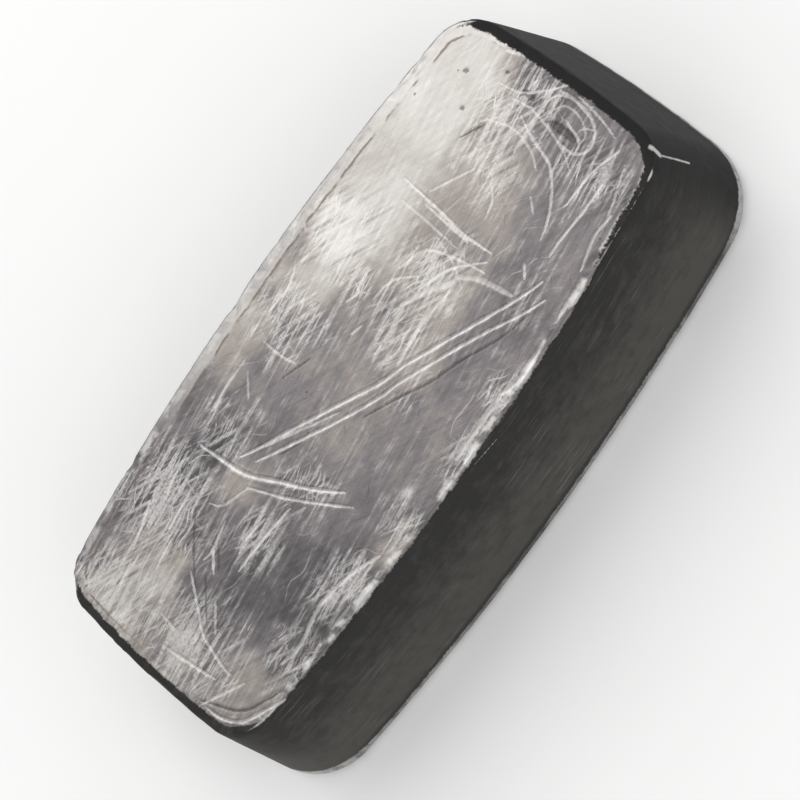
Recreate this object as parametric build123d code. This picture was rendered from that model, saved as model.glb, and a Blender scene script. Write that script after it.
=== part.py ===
# Hand-sized tin ingot, cast in one piece in an open mould and lying as it was turned out:
# the large open face, which the metal was poured through, is down, and the smaller face
# from the mould's floor is up. Origin at the middle of the open face, +X along the bar, +Z up.
import math
import os

from build123d import *

# Bar, in millimetres: length and width over the bows of its rim
bar_length = 150.0
bar_width = 72.0
bar_height = 36.0

# Draft on all four sides, in degrees, that lets the bar drop out of the mould
draft = 10.0

# How far the middle of an end and of a long side stands out past the corners, at the rim
end_bow = 1.8
side_bow = 4.8

# Corners seen from above, at the rim: the draft makes them tighter towards the mould's floor
corner_radius = 16.0

# Edges round the two faces: a crisp arris above, a soft rolled rim below
arris_radius = 1.2
rim_radius = 2.4


def roll_allowance():
    """How far the sharp lower edge stands out past the rim once the rim is rolled."""
    angle = math.radians(draft)
    return rim_radius * (1 / math.cos(angle) + math.tan(angle) - 1)


def arc_radius(half_span, bow):
    """Radius of a side that bows out by this much over twice its half span."""
    return (half_span**2 + bow**2) / (2 * bow)


def outline(inset):
    """The bar seen from above, drawn in by the inset: its arcs keep their centres at every inset,
    so that the walls between two outlines are true cones."""
    reach_x = bar_length / 2 + roll_allowance()
    reach_y = bar_width / 2 + roll_allowance()
    side_radius = arc_radius(reach_x - end_bow, side_bow)
    end_radius = arc_radius(reach_y - side_bow, end_bow)
    side_centre = side_radius - reach_y
    end_centre = end_radius - reach_x

    # A corner touches its side and its end from inside: the three centres make a triangle
    to_side = side_radius - corner_radius
    to_end = end_radius - corner_radius
    apart = math.hypot(side_centre, end_centre)
    opening = math.acos((to_side**2 + apart**2 - to_end**2) / (2 * to_side * apart))
    meets_side = math.atan2(side_centre, -end_centre) - opening
    corner_x = to_side * math.cos(meets_side)
    corner_y = to_side * math.sin(meets_side) - side_centre
    meets_end = math.atan2(corner_y, corner_x + end_centre)

    side_from = math.degrees(meets_side)
    end_from = math.degrees(meets_end)
    corner_turn = side_from - end_from
    side_turn = 180 - 2 * side_from
    end_turn = 2 * end_from
    radius = corner_radius - inset
    edges = []
    for sign, half_turn in ((1, 0), (-1, 180)):
        edges += [
            CenterArc((sign * corner_x, sign * corner_y), radius, half_turn + end_from, corner_turn),
            CenterArc((0, -sign * side_centre), side_radius - inset, half_turn + side_from, side_turn),
            CenterArc((-sign * corner_x, sign * corner_y), radius, half_turn + 180 - side_from, corner_turn),
            CenterArc((sign * end_centre, 0), end_radius - inset, half_turn + 180 - end_from, end_turn),
        ]
    return make_face(edges)


def tin_ingot():
    """The open face drawn up and in to the mould's floor, with its arris and its rolled rim."""
    drawn_in = bar_height * math.tan(math.radians(draft))
    open_face = outline(0)
    floor_face = Pos(0, 0, bar_height) * outline(drawn_in)
    block = loft([open_face, floor_face], ruled=True)
    block = fillet(block.edges().group_by(Axis.Z)[-1], arris_radius)
    return fillet(block.edges().group_by(Axis.Z)[0], rim_radius)


os.makedirs("parts", exist_ok=True)
ingot = tin_ingot()
ingot.label = "ingot"
export_step(ingot, "parts/ingot.step")
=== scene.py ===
# A hand-sized cast tin ingot: a worn, scratched upper face of bare metal between
# dark cast walls, lying on a pale floor.
import math
import random

import bmesh
import bpy
import numpy as np
from mathutils import Matrix, Vector, noise


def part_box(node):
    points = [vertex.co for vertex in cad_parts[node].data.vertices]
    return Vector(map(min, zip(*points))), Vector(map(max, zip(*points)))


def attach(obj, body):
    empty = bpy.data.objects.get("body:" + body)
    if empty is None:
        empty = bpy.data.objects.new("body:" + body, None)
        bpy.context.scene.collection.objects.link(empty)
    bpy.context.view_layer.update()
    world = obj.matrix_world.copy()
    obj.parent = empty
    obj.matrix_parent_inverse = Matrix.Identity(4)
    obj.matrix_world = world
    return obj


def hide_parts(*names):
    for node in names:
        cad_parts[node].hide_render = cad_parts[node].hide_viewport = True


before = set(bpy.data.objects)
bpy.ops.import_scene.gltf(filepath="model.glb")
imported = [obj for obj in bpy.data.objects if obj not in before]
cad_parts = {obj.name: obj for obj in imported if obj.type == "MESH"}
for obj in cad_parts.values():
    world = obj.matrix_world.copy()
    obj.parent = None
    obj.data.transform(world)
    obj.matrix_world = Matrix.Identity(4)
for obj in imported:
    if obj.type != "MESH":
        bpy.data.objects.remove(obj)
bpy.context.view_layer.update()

bar_low, bar_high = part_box("ingot")
MM = 0.001

# The cast bar, in millimetres, as it was drawn for the mould
LENGTH = (bar_high.x - bar_low.x) / MM
WIDTH = (bar_high.y - bar_low.y) / MM
HEIGHT = (bar_high.z - bar_low.z) / MM
DRAFT = math.radians(10.0)
END_BOW = 1.8
SIDE_BOW = 4.8
CORNER_RADIUS = 16.0
ARRIS_RADIUS = 1.2
RIM_RADIUS = 2.4

# How finely the skin is divided: pitches in millimetres, and numbers of rings
RIM_PITCH = 0.9
FACE_PITCH = 0.325
RIM_STEPS = 7
WALL_STEPS = 22
ARRIS_STEPS = 6
WALL_CROWDING = 0.6  # the rings of the wall stand closer towards the arris
SKIN_DEPTH = 0.16  # the skin lies this far inside the bar's box, so that burrs stay within it

# The camera: where it stands round the bar, and the pixel of the 800 pixel frame where
# the middle of the base shows
FRAME_PIXELS = 800
CAMERA_DISTANCE = 0.508
LEAN_TO_SIDE = math.radians(25.63)
LEAN_TO_END = math.radians(7.81)
CAMERA_ROLL = math.radians(35.34)
PIXELS_PER_METRE = 5031.3
BASE_PIXEL = (431.5, 407.0)
SENSOR = 36.0
FOCAL_PIXELS = PIXELS_PER_METRE * CAMERA_DISTANCE

# Lamps: direction, distance and size in metres, watts and colour. Even light comes from all round.
LAMPS = {
    "key": ((0.12, 0.60, 0.79), 1.2, 1.0, 5.0, (1.0, 0.985, 0.96)),
    "fill": ((0.20, -0.80, 0.55), 1.2, 0.9, 2.3, (0.96, 0.98, 1.0)),
}
WORLD_LIGHT = 0.75
FLOOR_SIZE = 6  # in metres


# Camera

def camera_axes():
    """Right, up and back of the camera, as unit vectors."""
    back = Vector((math.tan(LEAN_TO_END), -math.tan(LEAN_TO_SIDE), 1)).normalized()
    level = Vector((1, 0, 0)).cross(back).normalized()
    rise = back.cross(level)
    right = level * math.cos(CAMERA_ROLL) + rise * math.sin(CAMERA_ROLL)
    return right, back.cross(right), back


def make_camera():
    right, up, back = camera_axes()
    place = back * CAMERA_DISTANCE
    middle = FRAME_PIXELS / 2
    across = (middle - BASE_PIXEL[0]) / PIXELS_PER_METRE
    down = (middle - BASE_PIXEL[1]) / PIXELS_PER_METRE
    aim = right * across - up * down
    back = (place - aim).normalized()
    right = up.cross(back).normalized()
    up = back.cross(right)
    data = bpy.data.cameras.new("camera")
    data.sensor_width = SENSOR
    data.lens = SENSOR * FOCAL_PIXELS / FRAME_PIXELS
    data.clip_start = 0.01
    data.clip_end = 20
    camera = bpy.data.objects.new("camera", data)
    bpy.context.scene.collection.objects.link(camera)
    turn = Matrix((right, up, back)).transposed().to_4x4()
    camera.matrix_world = Matrix.Translation(place) @ turn
    bpy.context.scene.camera = camera
    return place, right, up, back


EYE, EYE_RIGHT, EYE_UP, EYE_BACK = make_camera()


def view_ray(pixel):
    """The direction in which the camera sees this pixel."""
    x = (pixel[0] - FRAME_PIXELS / 2) / FOCAL_PIXELS
    y = (FRAME_PIXELS / 2 - pixel[1]) / FOCAL_PIXELS
    return EYE_RIGHT * x + EYE_UP * y - EYE_BACK


def on_top(pixel):
    """The point of the upper face, in millimetres, that shows at this pixel."""
    ray = view_ray(pixel)
    hit = EYE + ray * ((bar_high.z - EYE.z) / ray.z)
    return np.array((hit.x, hit.y)) / MM


def on_bar(pixel):
    """The point of the cast bar, in millimetres, that shows at this pixel."""
    hit, spot, _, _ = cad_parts["ingot"].ray_cast(EYE, view_ray(pixel).normalized())
    if not hit:
        raise ValueError(f"no part of the bar shows at pixel {pixel}")
    return spot / MM


# The bar's skin: rings drawn up round the outline, then the upper face cut into a fine grid

def outline_arcs():
    """The eight arcs of the open face before its rim is rolled: centre, radius, start and turn."""
    allowance = RIM_RADIUS * (1 / math.cos(DRAFT) + math.tan(DRAFT) - 1)
    reach_x = LENGTH / 2 + allowance
    reach_y = WIDTH / 2 + allowance
    side_radius = ((reach_x - END_BOW) ** 2 + SIDE_BOW**2) / (2 * SIDE_BOW)
    end_radius = ((reach_y - SIDE_BOW) ** 2 + END_BOW**2) / (2 * END_BOW)
    side_centre = side_radius - reach_y
    end_centre = end_radius - reach_x
    to_side = side_radius - CORNER_RADIUS
    to_end = end_radius - CORNER_RADIUS
    apart = math.hypot(side_centre, end_centre)
    opening = math.acos((to_side**2 + apart**2 - to_end**2) / (2 * to_side * apart))
    meets_side = math.atan2(side_centre, -end_centre) - opening
    corner_x = to_side * math.cos(meets_side)
    corner_y = to_side * math.sin(meets_side) - side_centre
    meets_end = math.atan2(corner_y, corner_x + end_centre)
    turn = meets_side - meets_end
    arcs = []
    for sign, half_turn in ((1, 0), (-1, math.pi)):
        arcs += [
            ((sign * corner_x, sign * corner_y), CORNER_RADIUS, half_turn + meets_end, turn),
            ((0, -sign * side_centre), side_radius, half_turn + meets_side, math.pi - 2 * meets_side),
            ((-sign * corner_x, sign * corner_y), CORNER_RADIUS, half_turn + math.pi - meets_side, turn),
            ((sign * end_centre, 0), end_radius, half_turn + math.pi - meets_end, 2 * meets_end),
        ]
    return arcs


def outline_stations(pitch):
    """Points round the open face, evenly spaced, each with its outward direction."""
    stations = []
    for centre, radius, start, turn in outline_arcs():
        steps = max(2, round(radius * turn / pitch))
        for i in range(steps):
            angle = start + turn * i / steps
            outward = Vector((math.cos(angle), math.sin(angle)))
            stations.append((Vector(centre) + outward * radius, outward))
    return stations


def ring_levels():
    """Inset and height of every ring: the rolled rim, the drafted wall and the crisp arris."""
    slope = math.tan(DRAFT)
    rim_in = RIM_RADIUS / math.cos(DRAFT) + RIM_RADIUS * slope
    arris_in = (HEIGHT - ARRIS_RADIUS) * slope + ARRIS_RADIUS / math.cos(DRAFT)
    levels = []
    for i in range(RIM_STEPS + 1):
        angle = -math.pi / 2 + (math.pi / 2 + DRAFT) * i / RIM_STEPS
        levels.append((rim_in - RIM_RADIUS * math.cos(angle), RIM_RADIUS * (1 + math.sin(angle))))
    wall_from = levels[-1][1]
    wall_to = HEIGHT - ARRIS_RADIUS * (1 - math.sin(DRAFT))
    for i in range(1, WALL_STEPS):
        share = i / WALL_STEPS
        share += WALL_CROWDING * share * (1 - share)
        z = wall_from + (wall_to - wall_from) * share
        levels.append((z * slope, z))
    for i in range(ARRIS_STEPS + 1):
        angle = DRAFT + (math.pi / 2 - DRAFT) * i / ARRIS_STEPS
        z = HEIGHT - ARRIS_RADIUS * (1 - math.sin(angle))
        levels.append((arris_in - ARRIS_RADIUS * math.cos(angle), z))
    return levels


def draw_up(bm):
    """Draws a disc up through the rings into the closed bar. Returns its upper face."""
    stations = outline_stations(RIM_PITCH)
    levels = ring_levels()
    bmesh.ops.create_circle(bm, cap_ends=True, segments=len(stations), radius=1)
    mark = bm.verts.layers.int.new("station")
    bm.verts.ensure_lookup_table()
    for i, vert in enumerate(sorted(bm.verts, key=lambda v: math.atan2(v.co.y, v.co.x) % math.tau)):
        vert[mark] = i

    def place(face, level):
        inset, z = level
        for vert in face.verts:
            point, outward = stations[vert[mark]]
            spot = point - outward * (inset + SKIN_DEPTH)
            vert.co = (spot.x, spot.y, min(max(z, 0.0), HEIGHT - SKIN_DEPTH))

    cap = bm.faces[:][0]
    place(cap, levels[0])
    for level in levels[1:]:
        drawn = bmesh.ops.extrude_face_region(bm, geom=[cap])
        if level is not levels[1]:
            bmesh.ops.delete(bm, geom=[cap], context="FACES_ONLY")
        cap = next(part for part in drawn["geom"] if isinstance(part, bmesh.types.BMFace))
        place(cap, level)
    return cap


def slice_faces(bm, faces, axis, low, high, pitch):
    """Cuts the faces by planes across one axis, a pitch apart, and returns the pieces."""
    count = math.floor((high - low) / pitch)
    start = (low + high - count * pitch) / 2
    normal = Vector((0, 0, 0))
    normal[axis] = 1
    done = []
    rest = list(faces)
    for i in range(count + 1):
        spot = Vector((0, 0, 0))
        spot[axis] = start + i * pitch
        parts = {part for face in rest for part in (*face.verts, *face.edges)}
        cut = bmesh.ops.bisect_plane(bm, geom=[*rest, *parts], dist=0.01, plane_co=spot, plane_no=normal)
        found = [part for part in cut["geom"] if isinstance(part, bmesh.types.BMFace)]
        rest = []
        for face in found:
            beyond = face.calc_center_median()[axis] > spot[axis]
            (rest if beyond else done).append(face)
        if not rest:
            break
    return done + rest


def bar_mesh():
    bm = bmesh.new()
    cap = draw_up(bm)
    reach = [vert.co for vert in cap.verts]
    long_from, long_to = min(c.x for c in reach), max(c.x for c in reach)
    cross_from, cross_to = min(c.y for c in reach), max(c.y for c in reach)
    strips = slice_faces(bm, [cap], 0, long_from, long_to, FACE_PITCH)
    slice_faces(bm, strips, 1, cross_from, cross_to, FACE_PITCH)
    bmesh.ops.recalc_face_normals(bm, faces=bm.faces[:])
    return bm


# Bright scores of the upper face: half width and depth in millimetres, strength, and the pixels
# that each passes through
BRIGHT_SCORES = {
    "long score, upper edge": (0.42, 0.16, 1.0, [
        (240, 457), (260, 447), (300, 425), (340, 404), (380, 383), (400, 368), (440, 344), (480, 321),
        (520, 297), (543, 281)]),
    "long score, lower edge": (0.34, 0.14, 0.95, [
        (255, 462), (300, 440), (340, 420), (380, 397), (400, 382), (440, 358), (480, 335), (520, 315),
        (545, 300)]),
    "long score, middle": (0.24, 0.08, 0.7, [(250, 453), (300, 430), (340, 412)]),
    "upper double, first": (0.32, 0.12, 0.95, [(404, 178), (440, 211), (462, 233), (492, 254)]),
    "upper double, second": (0.26, 0.10, 0.85, [(424, 203), (452, 228), (468, 243)]),
    "upper double, faint": (0.22, 0.05, 0.6, [(401, 200), (425, 220), (456, 248)]),
    "curved pair, thick": (0.42, 0.16, 1.0, [
        (200, 445), (215, 455), (245, 474), (280, 482), (310, 489), (345, 493)]),
    "curved pair, thin": (0.28, 0.10, 0.85, [(245, 487), (285, 498), (330, 505), (355, 508)]),
    "arc by the far end": (0.30, 0.09, 0.75, [
        (520, 115), (530, 135), (540, 150), (549, 165), (551, 185), (550, 205), (546, 225), (540, 240)]),
    "right diagonal, first": (0.30, 0.09, 0.8, [(603, 183), (580, 215), (560, 240), (548, 258)]),
    "right diagonal, second": (0.26, 0.08, 0.8, [(620, 150), (600, 165), (585, 180), (563, 208)]),
    "right diagonal, third": (0.28, 0.08, 0.75, [(612, 215), (597, 232), (588, 250), (580, 272)]),
    "right diagonal, fourth": (0.22, 0.06, 0.7, [(625, 165), (618, 185), (612, 205), (605, 222)]),
    "short stroke above the double": (0.24, 0.06, 0.7, [(428, 192), (455, 178), (475, 168)]),
    "upright by the double": (0.24, 0.06, 0.7, [(490, 180), (492, 200), (484, 221)]),
    "stub by the long score": (0.24, 0.06, 0.75, [(524, 262), (524, 280)]),
    "stub by the arc": (0.20, 0.05, 0.6, [(530, 195), (533, 215)]),
    "outer curl": (0.26, 0.07, 0.8, [(560, 90), (575, 100), (592, 120)]),
    "inner curl": (0.24, 0.07, 0.75, [(565, 120), (578, 140), (575, 152)]),
    "far edge strip": (0.34, 0.06, 0.85, [(505, 50), (525, 55), (545, 60)]),
    "wide rub below the double": (0.7, 0.04, 0.5, [(400, 305), (428, 290), (455, 280)]),
    "rub beside it": (0.5, 0.05, 0.6, [(455, 277), (480, 280), (512, 296)]),
    "rub under the double": (0.6, 0.04, 0.5, [(408, 268), (416, 260), (425, 252)]),
    "long rub on the middle": (0.45, 0.05, 0.6, [(395, 370), (405, 350), (425, 318), (450, 290)]),
    "hook": (0.24, 0.07, 0.8, [(345, 302), (358, 292), (355, 282)]),
    "dash by the hook": (0.22, 0.05, 0.7, [(350, 335), (362, 325)]),
    "curved dash on the left": (0.26, 0.07, 0.75, [(262, 340), (280, 355), (295, 363)]),
    "upright on the left": (0.22, 0.05, 0.6, [(247, 370), (248, 400)]),
    "near double, outer": (0.32, 0.10, 0.9, [(290, 508), (270, 530), (250, 555), (238, 572)]),
    "near double, inner": (0.24, 0.07, 0.75, [(265, 518), (245, 540), (238, 555)]),
    "dash under the curved pair": (0.24, 0.06, 0.7, [(248, 488), (222, 505), (208, 503)]),
    "near upright, first": (0.26, 0.07, 0.8, [(225, 520), (212, 550), (203, 560)]),
    "near upright, second": (0.30, 0.08, 0.85, [(213, 545), (213, 575)]),
    "near upright, third": (0.26, 0.07, 0.75, [(215, 600), (215, 635)]),
    "near long curve": (0.28, 0.08, 0.8, [(190, 570), (198, 610), (203, 635), (220, 663), (230, 676)]),
    "near dash": (0.24, 0.06, 0.7, [(160, 612), (175, 630)]),
    "near slant": (0.28, 0.08, 0.8, [(162, 645), (200, 670), (215, 680)]),
    "near hook": (0.28, 0.08, 0.85, [(200, 705), (230, 690), (245, 683)]),
    "steep stroke, first": (0.30, 0.09, 0.85, [(188, 450), (172, 480), (165, 500)]),
    "steep stroke, second": (0.28, 0.08, 0.8, [(190, 490), (178, 512), (168, 530)]),
    "steep stroke, third": (0.28, 0.08, 0.8, [(132, 550), (142, 524), (150, 500)]),
    "steep stroke, fourth": (0.24, 0.06, 0.7, [(152, 585), (160, 560), (172, 538)]),
    "steep stroke, fifth": (0.24, 0.06, 0.7, [(118, 590), (126, 572), (138, 556)]),
    "right edge rub, strong": (0.55, 0.08, 0.9, [(543, 342), (522, 375), (500, 395)]),
    "right edge rub, lower": (0.6, 0.06, 0.85, [(500, 395), (475, 430), (455, 460)]),
    "right edge bit, first": (0.4, 0.08, 0.9, [(634, 190), (632, 215)]),
    "right edge bit, second": (0.35, 0.08, 0.9, [(625, 215), (618, 232)]),
    "right edge bit, third": (0.35, 0.08, 0.9, [(567, 303), (558, 318)]),
    "right edge bit, fourth": (0.35, 0.06, 0.8, [(450, 480), (445, 490)]),
    "near right rub": (0.42, 0.06, 0.8, [(380, 555), (350, 575), (320, 605), (300, 645), (280, 665)]),
    "near right rub, second": (0.28, 0.05, 0.7, [(375, 560), (360, 580), (345, 600)]),
    "near right rub, third": (0.26, 0.05, 0.65, [(350, 605), (340, 618), (330, 630)]),
    "swirl, outer": (0.27, 0.06, 0.62, [
        (542, 112), (550, 98), (566, 96), (584, 108), (594, 128), (590, 148), (574, 154), (558, 142),
        (548, 126)]),
    "swirl, inner": (0.22, 0.05, 0.55, [(552, 110), (566, 106), (580, 118), (585, 136), (576, 146)]),
    "swirl, tail": (0.24, 0.05, 0.6, [(512, 98), (530, 108), (548, 128), (562, 150), (570, 172)]),
    "far tangle, first": (0.24, 0.05, 0.65, [(498, 82), (520, 92), (548, 90), (572, 84)]),
    "far tangle, second": (0.24, 0.05, 0.6, [(484, 118), (512, 128), (530, 150), (536, 172)]),
    "far tangle, third": (0.22, 0.05, 0.7, [(578, 96), (600, 118), (616, 140)]),
    "middle tangle, first": (0.26, 0.06, 0.8, [(398, 268), (425, 250), (455, 258), (486, 274)]),
    "middle tangle, second": (0.26, 0.06, 0.8, [(412, 296), (446, 270), (488, 262)]),
    "middle tangle, third": (0.22, 0.05, 0.7, [(436, 236), (452, 262), (462, 290)]),
    "middle tangle, fourth": (0.24, 0.05, 0.7, [(372, 300), (392, 280), (418, 276)]),
    "left slant, first": (0.26, 0.06, 0.75, [(300, 262), (322, 240), (338, 214)]),
    "left slant, second": (0.24, 0.06, 0.7, [(268, 312), (288, 286), (296, 262)]),
    "left slant, third": (0.24, 0.06, 0.7, [(212, 412), (226, 386), (246, 358)]),
    "far right corner lip": (0.32, 0.12, 1.0, [(600, 100), (618, 108), (633, 118), (640, 125), (648, 142)]),
    "near corner lip": (0.32, 0.12, 1.0, [(205, 707), (220, 718), (240, 722), (255, 716), (280, 702)]),
}

# Dark scores: half width and depth in millimetres, and the pixels that each passes through
DARK_SCORES = {
    # A painted shadow beside the long score's groove.
    "dark line under the long score": (0.26, 0.10, [
        (362, 418), (400, 397), (430, 382), (462, 360), (500, 338), (530, 313)]),
    "dark dash in the long score": (0.22, 0.08, [(280, 455), (300, 443)]),
    "dark stroke above the double": (0.26, 0.08, [(460, 137), (485, 124)]),
    "dark stroke by the left": (0.26, 0.07, [(282, 378), (310, 358)]),
    "dark upright, first": (0.26, 0.07, [(195, 505), (193, 550), (195, 590)]),
    "dark upright, second": (0.24, 0.07, [(218, 540), (218, 575)]),
    "dark upright, third": (0.26, 0.07, [(205, 575), (206, 625)]),
    "dark line in the far corner": (0.30, 0.10, [(592, 104), (614, 114), (628, 126), (638, 144)]),
    "dark line in the near corner": (0.30, 0.10, [(200, 700), (240, 711), (268, 699), (282, 690)]),
    "dark dent by the curl": (0.75, 0.18, [(550, 122), (562, 130), (575, 141)]),
    "dark spot, first": (0.55, 0.12, [(463, 70), (468, 71)]),
    "dark spot, second": (0.5, 0.12, [(460, 108), (464, 108)]),
    "dark spot, third": (0.45, 0.10, [(505, 72), (509, 72)]),
    "blot by the far end": (0.65, 0.10, [(523, 90), (534, 100)]),
}

# Broad tones of the upper face: a pixel, how far the tone spreads in millimetres, and the
# tone, from 0 dark to 1 bright
TONES = {
    # The two far left tones are bright wear with a painted highlight of the key lamp's reflection laid into
    # them.
    "far left, bright": ((470, 75), 8.0, 0.855),
    "far left, lower": ((440, 120), 7.0, 0.86),
    "left edge, upper": ((385, 185), 5.5, 0.80),
    "left edge, middle": ((318, 285), 4.0, 0.78),
    "bright blotch on the left": ((352, 232), 5.0, 0.88),
    "far end, middle": ((540, 85), 5.5, 0.42),
    "under the far end": ((500, 130), 6.0, 0.62),
    "far right corner": ((610, 135), 7.0, 0.48),
    "upper middle": ((470, 200), 8.0, 0.66),
    "upper middle, lower": ((440, 285), 6.0, 0.70),
    "right of the upper middle": ((560, 230), 8.0, 0.52),
    "left of the upper middle": ((350, 330), 7.0, 0.57),
    "middle": ((380, 400), 9.0, 0.58),
    "left of the middle": ((270, 380), 8.0, 0.54),
    "lower left of the middle": ((230, 440), 5.0, 0.42),
    "right of the middle": ((500, 360), 9.0, 0.52),
    "lower middle": ((300, 500), 9.0, 0.51),
    "lower right": ((400, 490), 8.0, 0.51),
    "lower left": ((180, 500), 7.0, 0.46),
    "dark patch": ((285, 590), 8.5, 0.405),
    "near right": ((350, 560), 5.0, 0.47),
    "near left corner": ((105, 590), 5.0, 0.69),
    # These two darker tones along the lower left edge are painted shade.
    "lower left edge": ((122, 508), 3.0, 0.42),
    "lower left edge, upper": ((152, 452), 2.8, 0.44),
    "near end": ((160, 640), 6.0, 0.6),
    "near right corner": ((235, 690), 6.0, 0.565),
    "left edge, lower": ((240, 352), 3.5, 0.71),
    "bright rub, lower left": ((158, 538), 4.5, 0.64),
    "beside the dark patch": ((322, 600), 2.8, 0.56),
    "light patch above the middle": ((358, 281), 3.6, 0.72),
    "right edge, lower": ((402, 530), 3.2, 0.6),
    "under the double score": ((460, 240), 4.5, 0.56),
    "lower left of the middle, edge": ((205, 402), 3.5, 0.48),
    "far right, lower": ((575, 150), 5.0, 0.48),
    "end of the long score": ((522, 302), 4.5, 0.47),
    "by the curved pair": ((236, 482), 3.4, 0.68),
    "near end, left": ((124, 638), 4.0, 0.71),
    "near end, right": ((240, 680), 4.0, 0.72),
    "near the dark patch, below": ((278, 640), 3.0, 0.54),
    "dark streak in the near end": ((200, 602), 3.0, 0.47),
    "left edge, between": ((252, 322), 3.0, 0.76),
    "over the long score": ((415, 358), 4.0, 0.7),
    "above the double score": ((480, 160), 4.0, 0.75),
    "right edge, upper": ((560, 278), 3.0, 0.57),
    "shade on the left": ((318, 320), 3.0, 0.5),
    "dark patch, upper": ((302, 560), 4.0, 0.4),
    "right edge, near": ((387, 552), 2.8, 0.74),
    "near left corner, edge": ((78, 598), 3.0, 0.5),
    "bright rub, near end": ((157, 562), 3.8, 0.78),
    "left of the near left corner": ((96, 560), 2.6, 0.48),
    "below the long score": ((402, 404), 2.6, 0.42),
    "beside the long score": ((352, 398), 2.8, 0.63),
    "far end, right of the bright corner": ((505, 62), 2.6, 0.62),
    "far right, edge": ((612, 180), 3.2, 0.43),
}

# Where the face is rubbed with fine strokes: a pixel, a spread in millimetres and how densely
RUBBED_PLACES = {
    "lower left": ((165, 500), 12.0, 1.05),
    "near left corner": ((112, 585), 9.5, 1.1),
    "near end": ((185, 650), 11.0, 1.0),
    "left middle": ((222, 430), 7.0, 0.8),
    "left edge": ((290, 320), 8.0, 0.85),
    "upper left": ((340, 230), 10.0, 0.85),
    "below the double score": ((430, 275), 8.5, 1.0),
    "above the middle": ((400, 330), 7.5, 0.8),
    "under the far end": ((515, 112), 10.0, 0.9),
    "far right": ((590, 175), 8.5, 0.74),
    "along the long score": ((400, 390), 8.0, 0.35),
    "lower middle": ((300, 490), 7.0, 0.7),
    "end of the long score": ((525, 300), 7.0, 0.4),
    "right edge, middle": ((505, 395), 5.0, 0.95),
    "right edge, lower": ((460, 460), 4.5, 0.85),
    "near right edge": ((350, 585), 6.0, 1.0),
    "near right corner": ((290, 660), 6.5, 1.0),
    "near double score": ((255, 540), 6.0, 0.85),
    "beside the dark patch": ((325, 600), 5.0, 1.0),
    "right edge, lower corner": ((400, 525), 4.5, 0.9),
    "light patch above the middle": ((358, 285), 5.0, 0.9),
    "under the far end, lower": ((495, 165), 7.5, 0.75),
}

# Noise that breaks the edges of those places: how far it shifts them, its size and its seeds
TONE_WARPS = ((2.6, 7, (11, 12)), (1.3, 2.5, (13, 14)))

# Between the named places: the tone, its weight and how densely the face is rubbed
PLAIN_TONE = 0.55
PLAIN_WEIGHT = 0.02
PLAIN_RUB = 0.12

# Bright marks on the walls: half width in millimetres, and the pixels that they pass through
WALL_MARKS = {
    # The first two marks are a painted highlight along the top of the far right corner's upright edge.
    "painted highlight at the far right corner": (0.55, [(651, 147), (661, 155)]),
    "tail of the painted highlight": (0.25, [(661, 155), (676, 159), (690, 163)]),
    "dash under it": (0.24, [(655, 166), (648, 181)]),
    "faint stroke on the side": (0.16, [(497, 440), (475, 465)]),
    "drip at the near corner": (0.28, [(285, 700), (276, 706), (268, 716)]),
}

# A score's shape, against its half width: its groove, its burrs, its thin ends and its wobble
SCORE_REACH = 4
GROOVE_REACH = 1.3
BURR_REACH = 1.7
BURR_WIDTH = 0.6
BURR_HEIGHT = 0.35  # of its depth
SCORE_TIP = 0.3
TAPER_POWER = 0.4
SCORE_WOBBLE = 0.35
WOBBLE_SIZE = 2.2  # in millimetres
WOBBLE_SEED = 3

# Dents: their seed and number, how far out they lie against the bar's size, their sizes and depths
DENT_SEED = 7
DENT_COUNT = 26
DENT_REACH = 0.45
DENT_SIZES = (1.0, 3.2)
DENT_DEPTHS = (0.05, 0.16)

# The casting's own unevenness: its height and the size of its bumps, in millimetres, and a seed
UNEVENNESS = ((0.06, 24, 1), (0.03, 7, 2), (0.025, 1.6, 4))
FLAT_FOOT = 1.0  # below this height the casting stays even

# Chips out of the arris: depth, size and seed, and the noise at which they start and are full
CHIPS = ((0.45, 5.0, 5, 0.05, 0.6), (0.22, 1.7, 6, 0.0, 0.7))
CHIPPED_BAND = 1.9
CHIPPED_CORE = 0.2
CHIPPED_WALL = 0.8  # how far a chip cuts sideways, against its depth, on the wall
CHIPPED_FACE = 0.5  # and on the upper face
CHIP_LEAN = 0.6
WALL_BELOW = -0.02  # the wall starts this far below the upper face
SLACK = 1e-4


def smooth_path(pixels, steps=6):
    """A smooth run of points on the upper face through the given pixels."""
    points = np.array([on_top(pixel) for pixel in pixels])
    before = 2 * points[0] - points[1]
    after = 2 * points[-1] - points[-2]
    ends = np.vstack((before, points, after))
    path = []
    for a, b, c, d in zip(ends, ends[1:], ends[2:], ends[3:]):
        for i in range(steps):
            t = i / steps
            bend = (2 * a - 5 * b + 4 * c - d) * t * t + (3 * b - 3 * c + d - a) * t**3
            path.append(0.5 * (2 * b + (c - a) * t + bend))
    path.append(points[-1])
    return np.array(path)


def path_field(spots, path):
    """How far each spot lies from the path, and how far along it, from 0 to 1."""
    apart = np.full(len(spots), 1e9)
    along = np.zeros(len(spots))
    lengths = np.linalg.norm(np.diff(path, axis=0), axis=1)
    run = np.concatenate(([0], np.cumsum(lengths)))
    for i, (start, end) in enumerate(zip(path, path[1:])):
        step = end - start
        share = np.clip(((spots - start) @ step) / (step @ step), 0, 1)
        gap = np.hypot(*(spots - start - share[:, None] * step).T)
        nearer = gap < apart
        apart[nearer] = gap[nearer]
        along[nearer] = (run[i] + share * lengths[i])[nearer] / run[-1]
    return apart, along


def flat(spots):
    return np.column_stack((spots, np.zeros(len(spots))))


def ripple(points, size, seed):
    """Smooth noise, about -1 to 1, with bumps of this size in millimetres."""
    shift = Vector((seed * 17.3, seed * 5.1, seed * 9.7))
    return np.array([noise.noise(Vector(point) / size + shift) for point in points])


def ramp_up(value, low, high):
    share = np.clip((value - low) / (high - low), 0, 1)
    return share * share * (3 - 2 * share)


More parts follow.
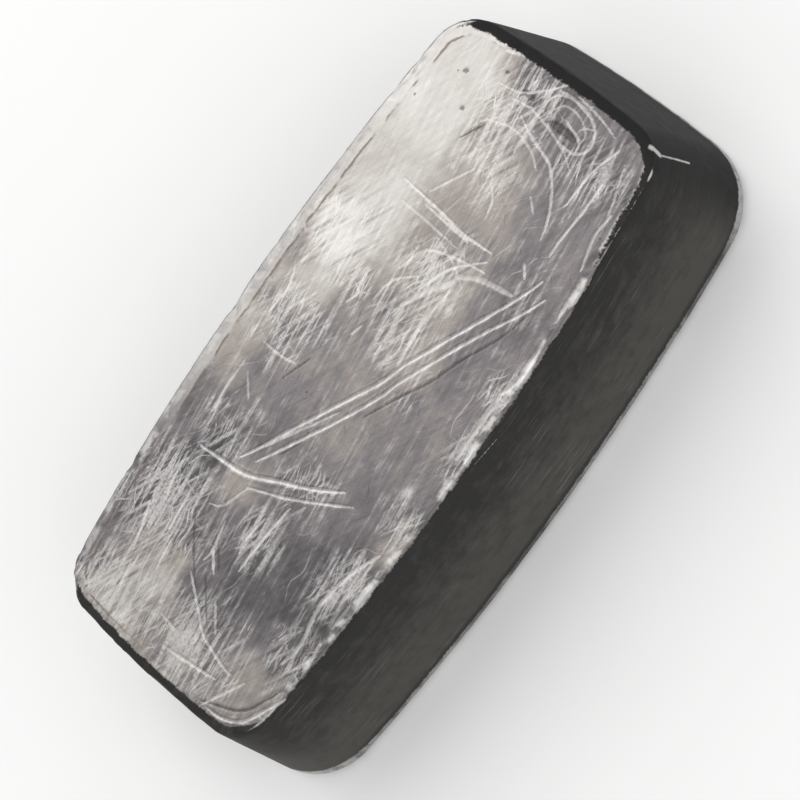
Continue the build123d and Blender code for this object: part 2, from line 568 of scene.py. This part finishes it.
def mark_scores(spots, scores):
    """Fields of the scores over the spots: nearness, strength and height."""
    near = np.zeros(len(spots))
    strength = np.zeros(len(spots))
    height = np.zeros(len(spots))
    wobble = 1 + SCORE_WOBBLE * ripple(flat(spots), WOBBLE_SIZE, WOBBLE_SEED)
    for half_width, depth, power, pixels in scores:
        path = smooth_path(pixels)
        reach = SCORE_REACH * half_width
        low, high = path.min(0) - reach, path.max(0) + reach
        inside = np.flatnonzero(np.all((spots > low) & (spots < high), axis=1))
        apart, along = path_field(spots[inside], path)
        taper = (4 * along * (1 - along)) ** TAPER_POWER
        wide = half_width * (SCORE_TIP + (1 - SCORE_TIP) * taper) * wobble[inside]
        field = np.clip(1 - apart / (2 * wide), 0, 1)
        strength[inside] = np.where(field > near[inside], power, strength[inside])
        near[inside] = np.maximum(near[inside], field)
        groove = ramp_up(GROOVE_REACH - apart / wide, 0, 1)
        burr = BURR_HEIGHT * np.exp(-(((apart - BURR_REACH * wide) / (BURR_WIDTH * wide)) ** 2))
        height[inside] += depth * (burr - groove)
    return near, strength, height


def warped_spots(spots):
    """The spots shifted about by noise, so that a zone painted over them has a broken edge."""
    warped = spots.copy()
    for shift, size, seeds in TONE_WARPS:
        warped += shift * np.column_stack([ripple(flat(spots), size, seed) for seed in seeds])
    return warped


def tone_field(warped):
    """The broad tone at every spot, blended between the named tones."""
    weight = np.full(len(warped), PLAIN_WEIGHT)
    total = weight * PLAIN_TONE
    for pixel, spread, tone in TONES.values():
        gap = np.linalg.norm(warped - on_top(pixel), axis=1)
        share = np.exp(-((gap / spread) ** 2))
        weight = weight + share
        total = total + share * tone
    return total / weight


def rubbed_field(warped):
    """How densely every spot is rubbed."""
    most = np.full(len(warped), PLAIN_RUB)
    for pixel, spread, amount in RUBBED_PLACES.values():
        gap = np.linalg.norm(warped - on_top(pixel), axis=1)
        most = np.maximum(most, amount * np.exp(-((gap / spread) ** 2)))
    return most


def edge_distance(spots, ring):
    """How far each spot lies from the nearest point of the upper face's outline."""
    nearest = []
    for part in np.array_split(spots, 20):
        gaps = part[:, None, :] - ring[None, :, :]
        nearest.append(np.sqrt((gaps**2).sum(2).min(1)))
    return np.concatenate(nearest)


def arris_reach(place, upper):
    """How far each vertex lies inside the upper face's outline or, as a minus, below it on the wall."""
    rounding = ARRIS_RADIUS * (1 / math.cos(DRAFT) - math.tan(DRAFT))
    inset = HEIGHT * math.tan(DRAFT) + rounding + SKIN_DEPTH
    ring = np.array([tuple(point - side * inset) for point, side in outline_stations(RIM_PITCH)])
    reach = place[:, 2] - HEIGHT + SKIN_DEPTH
    reach[upper] = edge_distance(place[upper, :2], ring)
    return reach


def dent_depths(spots):
    """How deep the random dents go at every spot of the upper face."""
    dice = random.Random(DENT_SEED)
    depth = np.zeros(len(spots))
    for _ in range(DENT_COUNT):
        spot = np.array((dice.uniform(-LENGTH, LENGTH), dice.uniform(-WIDTH, WIDTH))) * DENT_REACH
        size = dice.uniform(*DENT_SIZES)
        gap = np.linalg.norm(spots - spot, axis=1)
        depth += dice.uniform(*DENT_DEPTHS) * np.exp(-((gap / size) ** 2))
    return depth


def chip_depths(place, reach):
    """How deep the arris is chipped at every vertex."""
    depth = np.zeros(len(place))
    for most, size, seed, low, high in CHIPS:
        depth += most * ramp_up(ripple(place, size, seed), low, high)
    return depth * ramp_up(-np.abs(reach), -CHIPPED_BAND, -CHIPPED_CORE)


def vertex_values(mesh, name):
    values = np.empty(len(mesh.vertices) * 3)
    mesh.vertices.foreach_get(name, values)
    return values.reshape(-1, 3)


def spread_out(values, upper, elsewhere=0.0):
    """Values over the upper face as values over the whole skin."""
    whole = np.full(len(upper), elsewhere)
    whole[upper] = values
    return whole


def weather(mesh):
    """Wears the skin: scores, dents, a chipped arris and the slight swell of a casting."""
    place = vertex_values(mesh, "co")
    outward = vertex_values(mesh, "normal")
    upper = place[:, 2] > HEIGHT - SKIN_DEPTH - SLACK
    spots = place[upper, :2]
    reach = arris_reach(place, upper)
    score, strength, scored = mark_scores(spots, BRIGHT_SCORES.values())
    dark = [(half_width, depth, 1, pixels) for half_width, depth, pixels in DARK_SCORES.values()]
    shade, _, shaded = mark_scores(spots, dark)
    lift = spread_out(scored + shaded - dent_depths(spots), upper)
    warped = warped_spots(spots)

    uneven = sum(most * ripple(place, size, seed) for most, size, seed in UNEVENNESS)
    chips = chip_depths(place, reach)
    sideways = np.where(~upper & (reach < WALL_BELOW), CHIPPED_WALL, CHIPPED_FACE)
    place += outward * (uneven * ramp_up(place[:, 2], 0.0, FLAT_FOOT))[:, None]
    place[:, 2] += lift - chips * (1 - CHIP_LEAN * sideways)
    place[:, :2] -= outward[:, :2] * (chips * sideways)[:, None]
    place = np.clip(place, np.array(bar_low) / MM, np.array(bar_high) / MM)
    mesh.vertices.foreach_set("co", place.ravel())

    fields = {
        "reach": reach,
        "score": spread_out(score, upper),
        "score_strength": spread_out(strength, upper),
        "shade": spread_out(shade, upper),
        "tone": spread_out(tone_field(warped), upper, PLAIN_TONE),
        "rubbed": spread_out(rubbed_field(warped), upper),
    }
    for name, values in fields.items():
        layer = mesh.attributes.new(name, "FLOAT", "POINT")
        layer.data.foreach_set("value", values.astype(np.float32))
    mesh.update()


def worn_bar():
    """The ingot, modelled in millimetres and then brought to metres, shaded smooth."""
    bm = bar_mesh()
    mesh = bpy.data.meshes.new("worn_ingot")
    bm.to_mesh(mesh)
    bm.free()
    weather(mesh)
    mesh.transform(Matrix.Scale(MM, 4))
    mesh.polygons.foreach_set("use_smooth", [True] * len(mesh.polygons))
    piece = bpy.data.objects.new("worn_ingot", mesh)
    bpy.context.scene.collection.objects.link(piece)
    return piece


# Materials

class Nodes:
    """Builds one node tree. A value may be a number, a colour or another node's output."""

    def __init__(self, tree):
        self.tree = tree
        tree.nodes.clear()

    def add(self, kind, inputs=(), **settings):
        node = self.tree.nodes.new("ShaderNode" + kind)
        for name, value in settings.items():
            setattr(node, name, value)
        for key, value in dict(inputs).items():
            self.feed(node.inputs[key], value)
        return node

    def feed(self, socket, value):
        if isinstance(value, bpy.types.NodeSocket):
            self.tree.links.new(value, socket)
        elif socket.type == "RGBA" and len(value) == 3:
            socket.default_value = (*value, 1)
        else:
            socket.default_value = value

    def math(self, operation, a, b=0.0, clamp=False):
        return self.add("Math", {0: a, 1: b}, operation=operation, use_clamp=clamp).outputs[0]

    def product(self, first, *others):
        for other in others:
            first = self.math("MULTIPLY", first, other)
        return first

    def most(self, first, *others):
        """The largest of the values."""
        for other in others:
            first = self.math("MAXIMUM", first, other)
        return first

    def centred(self, value):
        """Noise from 0 to 1 as noise round 0."""
        return self.math("SUBTRACT", value, 0.5)

    def clamped(self, value):
        return self.math("MULTIPLY", value, 1.0, clamp=True)

    def join(self, operation, a, b):
        return self.add("VectorMath", {0: a, 1: b}, operation=operation).outputs[0]

    def scale(self, vector, factors):
        return self.join("MULTIPLY", vector, factors)

    def millimetres(self):
        """The place on the object, in millimetres."""
        return self.scale(self.add("TexCoord").outputs["Object"], (1 / MM, 1 / MM, 1 / MM))

    def step(self, value, low, high, to_low=0.0, to_high=1.0):
        """A smooth step of the value from low to high."""
        inputs = {0: value, 1: low, 2: high, 3: to_low, 4: to_high}
        return self.add("MapRange", inputs, interpolation_type="SMOOTHSTEP").outputs[0]

    def blend(self, share, a, b):
        return self.add("Mix", {0: share, 6: a, 7: b}, data_type="RGBA").outputs[2]

    def level(self, share, a, b):
        return self.add("Mix", {0: share, 2: a, 3: b}, data_type="FLOAT").outputs[0]

    def noise(self, vector, size, detail=3.0, coarse=0.55, warp=0.0):
        """Noise from 0 to 1 whose bumps are of this size in millimetres."""
        inputs = {"Vector": vector, "Scale": 1 / size, "Detail": detail, "Roughness": coarse}
        return self.add("TexNoise", {**inputs, "Distortion": warp}).outputs[0]

    def attribute(self, name):
        return self.add("Attribute", attribute_name=name).outputs["Fac"]

    def from_line(self, place, start, end):
        """How far the place lies from a straight line between two points."""
        along = end - start
        offset = self.join("SUBTRACT", place, tuple(start))
        dot = self.add("VectorMath", {0: offset, 1: tuple(along)}, operation="DOT_PRODUCT").outputs[1]
        share = self.math("MULTIPLY", dot, 1 / along.length_squared, clamp=True)
        foot = self.add("VectorMath", {0: tuple(along), 3: share}, operation="SCALE").outputs[0]
        return self.add("VectorMath", {0: offset, 1: foot}, operation="DISTANCE").outputs[1]

    def turn(self, vector, angle):
        inputs = {"Vector": vector, "Angle": angle}
        return self.add("VectorRotate", inputs, rotation_type="Z_AXIS").outputs[0]

    def ramp(self, value, stops):
        node = self.add("ValToRGB", {0: value})
        band = node.color_ramp
        while len(band.elements) < len(stops):
            band.elements.new(0.5)
        for element, (place, colour) in zip(band.elements, stops):
            element.position = place
            element.color = (*colour, 1)
        return node.outputs[0]

    def scuffs(self, vector, cell, length, half_width, aim, spread, share, shift):
        """Tapered strokes, one to a cell, within a spread of one direction, in a share of the cells."""
        wide, high = cell
        framed = self.join("ADD", self.turn(vector, -aim), shift)
        placed = self.scale(framed, (1 / wide, 1 / high, 0))
        inputs = {"Vector": placed, "Scale": 1.0, "Randomness": 0.8}
        cells = self.add("TexVoronoi", inputs, voronoi_dimensions="2D").outputs
        offset = self.scale(self.join("SUBTRACT", placed, cells["Position"]), (wide, high, 0))
        pick = self.add("SeparateColor", {0: cells["Color"]}).outputs
        angle = self.fma(pick[0], 2 * spread, -spread)
        turned = self.add("SeparateXYZ", {0: self.turn(offset, angle)}).outputs
        along = self.math("MULTIPLY", turned[0], 2 / length)
        square = self.math("MULTIPLY", along, along)
        bow = length * STROKE_BOW
        bend = self.product(square, self.fma(pick[1], 2 * bow, -bow))
        across = self.math("ABSOLUTE", self.math("ADD", turned[1], bend))
        line = self.step(self.fma(across, 1 / half_width, square), 1.0, 0.05)
        chosen = self.math("LESS_THAN", pick[2], share)
        return self.product(line, chosen, self.fma(pick[1], 1 - FAINTEST_STROKE, FAINTEST_STROKE))

    def fma(self, value, factor, offset):
        """The value times a factor, plus an offset."""
        return self.add("Math", {0: value, 1: factor, 2: offset}, operation="MULTIPLY_ADD").outputs[0]


def new_material(name):
    material = bpy.data.materials.new(name)
    material.use_nodes = True
    return material, Nodes(material.node_tree)


# The bare metal from dark to bright tones, and the colours of the marks and of the cast skin
TONE_COLOURS = (
    (0.30, (0.052, 0.049, 0.052)),
    (0.40, (0.088, 0.083, 0.087)),
    (0.53, (0.172, 0.160, 0.165)),
    (0.65, (0.282, 0.257, 0.238)),
    (0.80, (0.440, 0.424, 0.404)),
    (0.95, (0.580, 0.565, 0.550)),
)
BRIGHT_METAL = (0.56, 0.548, 0.537)
DARK_MARK = (0.055, 0.050, 0.050)
BROWN_MARK = (0.130, 0.100, 0.080)
# The skin high on the wall and at the foot. Blending them by height paints bounce light from the floor;
# blending them by mottle and flow gives the skin's own unevenness.
SKIN_TOP = (0.027, 0.026, 0.025)
SKIN_LOW = (0.074, 0.071, 0.064)
SKIN_DARK = (0.016, 0.016, 0.016)
RUBBED_SKIN = (0.20, 0.195, 0.185)
FLOOR_GREY = (0.925, 0.925, 0.925)
FLOOR_WHITE = (0.95, 0.95, 0.95)

# Noise: the size of its bumps in millimetres, its detail, coarseness and distortion
CLOUD = (60, 3, 0.5)
BLOTCH = (9, 3, 0.6, 0.6)
PATCH = (2.6, 3, 0.6, 0.4)
CLUMP = (3.6, 2, 0.6)
GRAIN = (0.32, 1, 0.6)
RAGGED = (0.55, 2, 0.6)
MOTTLE = (3.4, 5, 0.62, 0.3)
FLOW = (1.6, 4, 0.6, 0.4)
STREAK = (1, 3, 0.65)
EDGE_WAVE = (3.2, 4, 0.6)
CREASE_BREAKS = (4.5, 2, 0.6)
EDGE_BREAKS = (6, 3, 0.65)
WALL_BREAKS = (13, 3, 0.6)
# Breaks in the painted highlight along the foot
FOOT_HIGHLIGHT_BREAKS = (14, 2, 0.6)

# Streaks: their turn from the bar's length, and how noise is squeezed along each axis
ALONG_STREAKS = (-0.12, (0.06, 1.1, 1))
CROSSED_STREAKS = (0.47, (0.07, 1.2, 1))
WALL_STREAKS = (0, (0.10, 0.10, 2.2))
FLOW_SQUEEZE = (0.25, 0.25, 1)

# Short strokes: the cell that holds one, its length and half width in millimetres, its aim and
# spread in radians, the share of the cells that have one, and a shift of the cells
SCUFFS = {
    "fine": ((7.5, 1.0), 8.0, 0.29, 0.16, 0.13, 0.8, (3, 7, 0)),
    "middling": ((11.0, 1.7), 11.5, 0.36, 0.02, 0.17, 0.75, (11, 23, 0)),
    "slanted": ((9.0, 1.8), 9.5, 0.32, -0.47, 0.26, 0.6, (51, 37, 0)),
    "crosswise": ((7.0, 2.4), 7.5, 0.28, -1.50, 0.36, 0.5, (29, 61, 0)),
    "stray": ((20.0, 7.0), 19, 0.24, -0.25, 0.60, 0.7, (31, 12, 0)),
    "dark": ((9.0, 2.0), 9, 0.24, 0.05, 0.40, 0.6, (71, 5, 0)),
}
STROKE_BOW = 0.09
FAINTEST_STROKE = 0.45
SWAY = 6.0  # strokes wander by up to half of this
SWAY_SIZE = 8.0
PIT_PITCH = 5.5
PIT_RADIUS = 0.075  # of the pitch

# How strong each kind of mark is, from 0 to 1
SLANTED_SHARE = 0.8
CROSSWISE_SHARE = 0.7
STRAY_SHARE = 0.44
STROKE_SHARE = 0.84
CHALK_SHARE = 0.80
GAP_SHARE = 0.42
SHADE_SHARE = 0.62
PIT_SHARE = 0.6
# how strong the painted highlight inside the left edge of the upper face is
EDGE_HIGHLIGHT_SHARE = 0.42
WALL_RUB_SHARE = 0.42
FAR_DARK_SHARE = 0.95
FOOT_LINE_SHARE = 0.6
WALL_MARK_SHARE = 0.9

# Zones of the bar, in millimetres from its middle or its foot: where each starts and is full
FAR_END = (59, 65)
NEAR_END = (-57, -66)
FAR_END_ACROSS = (26, 19)
NEAR_END_ACROSS = (27, 18)
RIGHT_SIDE = (-15, -22)
LEFT_SIDE = (5, 20)
FAR_PART = (35, 55)
# along the bar, where the painted highlight inside the left edge starts and is full
EDGE_HIGHLIGHT_ALONG = (-38, -15)
# along the bar, where the painted highlight along the foot grows towards the corners
CORNERS = (54, 66)
DARK_END = (60, 72)
# heights between which the painted floor bounce light lightens the wall downwards
FLOOR_BOUNCE_PAINT = (34, 5)
FOOT_LINE = (5.2, 3.8)
# heights below which the painted highlight along the foot lies
FOOT_HIGHLIGHT_BAND = (3.5, 2.9)

# Bands inside the edge of the upper face, in millimetres from it
# the painted highlight inside the left edge: where it starts and is full, in from the edge
EDGE_HIGHLIGHT_BAND = (2.35, 1.6)
CREASE_REACH = 2.05
CREASE_HALF_WIDTH = (0.38, 0.10)
RUB_REACH = 0.3
RUB_HALF_WIDTH = (0.85, 0.20)
SKIN_OVERLAP = 1.5
BARE_FROM = (-0.55, -0.15)


class TinLook:
    """The looks of the bar, from noise, its own attributes and places in millimetres."""

    def __init__(self, n):
        self.n = n
        self.place = n.millimetres()
        self.along, self.across, self.height = n.add("SeparateXYZ", {0: self.place}).outputs
        self.near_end = n.step(self.along, *NEAR_END)
        self.reach = n.attribute("reach")
        self.patch = n.noise(self.place, *PATCH)
        self.grain = n.noise(self.place, *GRAIN)
        self.mottle = n.noise(self.place, *MOTTLE)
        self.ragged = n.centred(n.noise(self.place, *RAGGED))
        self.edge_wave = n.centred(n.noise(self.place, *EDGE_WAVE))
        self.streaks = self.streaked(*ALONG_STREAKS)
        self.crossed = self.streaked(*CROSSED_STREAKS)
        self.swayed = self.sway()
        self.broken = n.clamped(n.fma(self.ragged, 1.7, n.step(self.patch, 0.30, 0.56)))
        brushed = n.fma(n.centred(self.streaks), 0.8, n.attribute("rubbed"))
        clump = n.math("ADD", n.centred(n.noise(self.place, *CLUMP)), brushed)
        self.packed = n.step(clump, 0.70, 1.05)
        self.dense = n.step(clump, 0.11, 0.74)
        self.sparse = n.step(clump, 0.02, 0.55)

    def streaked(self, turn, squeeze):
        """Noise drawn out into streaks."""
        return self.n.noise(self.n.scale(self.n.turn(self.place, turn), squeeze), *STREAK)

    def sway(self):
        """Places shifted about by noise, so that strokes laid over them wander a little."""
        n = self.n
        inputs = {"Vector": self.place, "Scale": 1 / SWAY_SIZE, "Detail": 1.0, "Roughness": 0.5}
        shift = n.join("SUBTRACT", n.add("TexNoise", inputs).outputs["Color"], (0.5, 0.5, 0.5))
        return n.join("ADD", self.place, n.scale(shift, (SWAY, SWAY, 0)))

    def scuffs(self, kind):
        return self.n.scuffs(self.swayed, *SCUFFS[kind])

    def tone(self):
        """The tone of the bare face, from 0 dark to 1 bright."""
        n = self.n
        tone = n.fma(n.centred(n.noise(self.place, *BLOTCH)), 0.22, n.attribute("tone"))
        tone = n.fma(n.centred(self.patch), 0.16, tone)
        tone = n.fma(n.centred(self.streaks), 0.16, tone)
        tone = n.fma(n.centred(self.crossed), 0.12, tone)
        return n.fma(n.centred(self.grain), 0.07, tone)

    def light_strokes(self):
        """Light strokes of many sizes and chalky streaks, dense where the face is rubbed."""
        n = self.n
        strokes = n.most(
            n.product(self.scuffs("fine"), self.dense),
            n.product(self.scuffs("middling"), self.dense),
            n.product(self.scuffs("slanted"), self.sparse, SLANTED_SHARE),
            n.product(self.scuffs("crosswise"), self.dense, CROSSWISE_SHARE),
            n.product(self.scuffs("stray"), STRAY_SHARE),
        )
        chalk = n.most(
            n.step(n.fma(self.packed, 0.06, self.streaks), 0.46, 0.62),
            n.product(n.step(n.fma(self.packed, 0.05, self.crossed), 0.49, 0.66), 0.9),
        )
        strokes = n.product(strokes, self.broken, STROKE_SHARE)
        chalk = n.product(chalk, self.dense, n.fma(self.ragged, 1.4, 0.62), CHALK_SHARE)
        return n.clamped(n.most(strokes, chalk))

    def dark_strokes(self, tone):
        """Dark scuffs, fainter on bright ground, and the gaps between dense light strokes."""
        n = self.n
        scuffs = n.product(self.scuffs("dark"), self.broken, n.step(tone, 0.78, 0.55, 0.10, 0.44))
        gaps = n.product(n.step(self.crossed, 0.50, 0.36), self.dense, GAP_SHARE)
        return n.most(scuffs, gaps)

    def scores(self):
        """The scores that are placed singly, bright and dark."""
        n = self.n
        bright = n.step(n.fma(self.ragged, 0.72, n.attribute("score")), 0.24, 0.66)
        bright = n.product(bright, n.attribute("score_strength"), n.fma(self.streaks, 1.15, 0.05))
        dark = n.step(n.fma(self.ragged, 0.9, n.attribute("shade")), 0.34, 0.75)
        return n.clamped(bright), n.product(dark, SHADE_SHARE)

    def pits(self):
        """Small pits in half of the cells."""
        n = self.n
        inputs = {"Vector": self.place, "Scale": 1 / PIT_PITCH, "Randomness": 1.0}
        cells = n.add("TexVoronoi", inputs).outputs
        pick = n.add("SeparateColor", {0: cells["Color"]}).outputs
        gap = n.fma(self.ragged, 0.05, cells["Distance"])
        within = n.math("LESS_THAN", gap, n.product(pick[0], PIT_RADIUS))
        return n.product(within, n.math("LESS_THAN", pick[1], 0.5), PIT_SHARE)

    def worn_and_highlit_edge(self, face):
        """Lays over the face a painted highlight in a band inside its left edge, the crease inside its
        edge, and the rubbed edge itself.
        """
        n = self.n
        left = n.step(self.across, *LEFT_SIDE)
        # A painted highlight: a bright band inside the left edge, on the side that the key lamp lights.
        lip = n.step(n.math("ADD", self.edge_wave, self.reach), *EDGE_HIGHLIGHT_BAND)
        lip = n.product(lip, n.step(self.along, *EDGE_HIGHLIGHT_ALONG), left, EDGE_HIGHLIGHT_SHARE)
        face = n.blend(lip, face, BRIGHT_METAL)
        gap = n.math("ABSOLUTE", n.fma(self.edge_wave, 1.3, n.math("SUBTRACT", self.reach, CREASE_REACH)))
        breaks = n.step(n.noise(self.place, *CREASE_BREAKS), 0.38, 0.54)
        crease = n.product(n.step(gap, *CREASE_HALF_WIDTH), breaks, n.level(left, 0.25, 0.75))
        face = n.blend(crease, face, BROWN_MARK)
        gap = n.math("ABSOLUTE", n.fma(self.edge_wave, 1.4, n.math("SUBTRACT", self.reach, RUB_REACH)))
        breaks = n.step(n.noise(self.place, *EDGE_BREAKS), 0.47, 0.60)
        rub = n.product(n.step(gap, *RUB_HALF_WIDTH), breaks, n.level(left, 0.80, 0.45))
        return n.blend(rub, face, BRIGHT_METAL)

    def bare_face(self):
        """The colour of the bare face, and how far it is polished by strokes."""
        n = self.n
        tone = self.tone()
        strokes = self.light_strokes()
        bright, dark = self.scores()
        face = n.ramp(tone, TONE_COLOURS)
        face = n.blend(self.dark_strokes(tone), face, DARK_MARK)
        face = n.blend(strokes, face, BRIGHT_METAL)
        face = n.blend(self.pits(), face, DARK_MARK)
        face = n.blend(dark, face, DARK_MARK)
        face = n.blend(bright, face, BRIGHT_METAL)
        return self.worn_and_highlit_edge(face), n.most(strokes, bright)

    def cast_skin(self):
        """The colour of the walls: dark above and paler below, which is a painted bounce light from the
        floor, mottled, and rubbed in places.
        """
        n = self.n
        flow = n.noise(n.scale(self.place, FLOW_SQUEEZE), *FLOW)
        # The wall lightens towards the foot: a painted bounce light from the floor, under the skin's own
        # mottle and flow.
        pale = n.fma(n.centred(self.mottle), 1.5, n.step(self.height, *FLOOR_BOUNCE_PAINT))
        pale = n.clamped(n.fma(n.centred(flow), 0.9, pale))
        skin = n.blend(pale, SKIN_TOP, SKIN_LOW)
        breaks = n.step(n.noise(self.place, *WALL_BREAKS), 0.46, 0.66)
        rubbed = n.product(n.step(self.streaked(*WALL_STREAKS), 0.54, 0.70), breaks, WALL_RUB_SHARE)
        skin = n.blend(rubbed, skin, RUBBED_SKIN)
        far = n.step(n.fma(self.mottle, 5.0, self.along), *DARK_END)
        skin = n.blend(n.product(far, FAR_DARK_SHARE), skin, SKIN_DARK)
        line = n.step(n.fma(self.edge_wave, 1.2, self.height), *FOOT_LINE)
        return n.blend(n.product(line, FOOT_LINE_SHARE), skin, SKIN_DARK)

    def wall_marks(self):
        """The bright marks that are placed singly on the walls."""
        n = self.n
        marks = 0.0
        for half_width, pixels in WALL_MARKS.values():
            for start, end in zip(pixels, pixels[1:]):
                gap = n.from_line(self.place, on_bar(start), on_bar(end))
                mark = n.step(n.fma(self.ragged, 0.25, gap), half_width * 1.3, half_width * 0.4)
                marks = n.most(marks, mark)
        return marks

    def bare_share(self):
        """1 on the bare face and 0 on the cast skin, which laps over the edge at both ends."""
        n = self.n
        far_end = n.product(n.step(self.along, *FAR_END), n.step(self.across, *FAR_END_ACROSS))
        near_end = n.product(self.near_end, n.step(self.across, *NEAR_END_ACROSS), 0.8)
        far_right = n.product(n.step(self.across, *RIGHT_SIDE), n.step(self.along, *FAR_PART), 0.7)
        overlap = n.most(far_end, near_end, far_right)
        edge = n.fma(self.ragged, n.level(self.near_end, 1.0, 0.3), n.product(self.edge_wave, 1.5))
        edge = n.fma(overlap, -SKIN_OVERLAP, n.math("ADD", self.reach, edge))
        return n.step(edge, *BARE_FROM)

    def painted_foot_highlight(self):
        """A painted highlight along the rolled foot, in bright metal: round the corners, and in places
        between them.
        """
        n = self.n
        corners = n.step(n.math("ABSOLUTE", self.along), *CORNERS)
        edge = n.math("ADD", self.ragged, n.fma(self.edge_wave, 0.9, self.height))
        edge = n.fma(corners, -0.9, n.fma(self.near_end, -0.6, edge))
        between = n.level(n.step(n.noise(self.place, *FOOT_HIGHLIGHT_BREAKS), 0.36, 0.60), 0.18, 0.75)
        patches = n.level(n.step(self.patch, 0.36, 0.56), 0.45, 1.0)
        return n.product(n.step(edge, *FOOT_HIGHLIGHT_BAND), n.most(corners, between), patches)

    def relief(self):
        """The height of the finest roughness, for the bump."""
        n = self.n
        relief = n.fma(self.streaks, 0.20, n.product(self.patch, 0.30))
        relief = n.fma(self.grain, 0.12, relief)
        return n.fma(self.mottle, 0.55, relief)


def tin_material():
    material, n = new_material("worn_tin")
    look = TinLook(n)
    bare = look.bare_share()
    foot = look.painted_foot_highlight()
    face, polished = look.bare_face()
    colour = n.blend(bare, look.cast_skin(), face)
    # The painted highlight along the foot, blended in as bright metal; the same band is made metallic
    # below.
    colour = n.blend(n.product(foot, n.fma(look.grain, 0.5, 0.55)), colour, BRIGHT_METAL)
    # Bright marks on the walls; those at the far right corner are a painted highlight.
    colour = n.blend(n.product(look.wall_marks(), WALL_MARK_SHARE), colour, BRIGHT_METAL)
    metal = n.most(bare, foot)
    rough_face = n.level(polished, n.level(look.patch, 0.34, 0.56), 0.32)
    rough_skin = n.level(look.mottle, 0.55, 0.80)
    bump = n.add("Bump", {"Strength": 0.6, "Distance": 0.00025, "Height": look.relief()})
    shader = n.add("BsdfPrincipled", {
        "Base Color": colour,
        "Metallic": n.level(metal, 0.08, 0.88),
        "Roughness": n.level(metal, rough_skin, rough_face),
        "Specular IOR Level": 0.12,
        "Normal": bump.outputs[0],
    })
    n.add("OutputMaterial", {0: shader.outputs[0]})
    return material


def floor_material():
    material, n = new_material("pale_floor")
    cloud = n.noise(n.millimetres(), *CLOUD)
    colour = n.blend(cloud, FLOOR_GREY, FLOOR_WHITE)
    shader = n.add("BsdfPrincipled", {"Base Color": colour, "Roughness": 0.9, "Specular IOR Level": 0.1})
    n.add("OutputMaterial", {0: shader.outputs[0]})
    return material


bar = worn_bar()
bar.data.materials.append(tin_material())
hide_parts("ingot")
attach(bar, "root")


# Floor, lamps and surroundings

bpy.ops.mesh.primitive_plane_add(size=FLOOR_SIZE)
floor = bpy.context.object
floor.name = "floor"
floor.data.materials.append(floor_material())


def soft_lamp(name, aim, distance, size, watts, colour):
    data = bpy.data.lights.new(name, "AREA")
    data.shape = "SQUARE"
    data.size = size
    data.energy = watts
    data.color = colour
    lamp = bpy.data.objects.new(name, data)
    bpy.context.scene.collection.objects.link(lamp)
    away = Vector(aim).normalized()
    lamp.location = away * distance
    lamp.rotation_mode = "QUATERNION"
    lamp.rotation_quaternion = away.to_track_quat("Z", "Y")


for lamp_name, settings in LAMPS.items():
    soft_lamp(lamp_name, *settings)


def surroundings():
    """Even light all round; the camera itself sees white."""
    world = bpy.data.worlds.new("studio")
    world.use_nodes = True
    n = Nodes(world.node_tree)
    path = n.add("LightPath").outputs
    strength = n.level(path["Is Camera Ray"], WORLD_LIGHT, 1.0)
    light = n.add("Background", {"Color": (1.0, 1.0, 1.0), "Strength": strength})
    n.add("OutputWorld", {0: light.outputs[0]})
    bpy.context.scene.world = world


surroundings()
bpy.context.scene.view_settings.view_transform = "Standard"
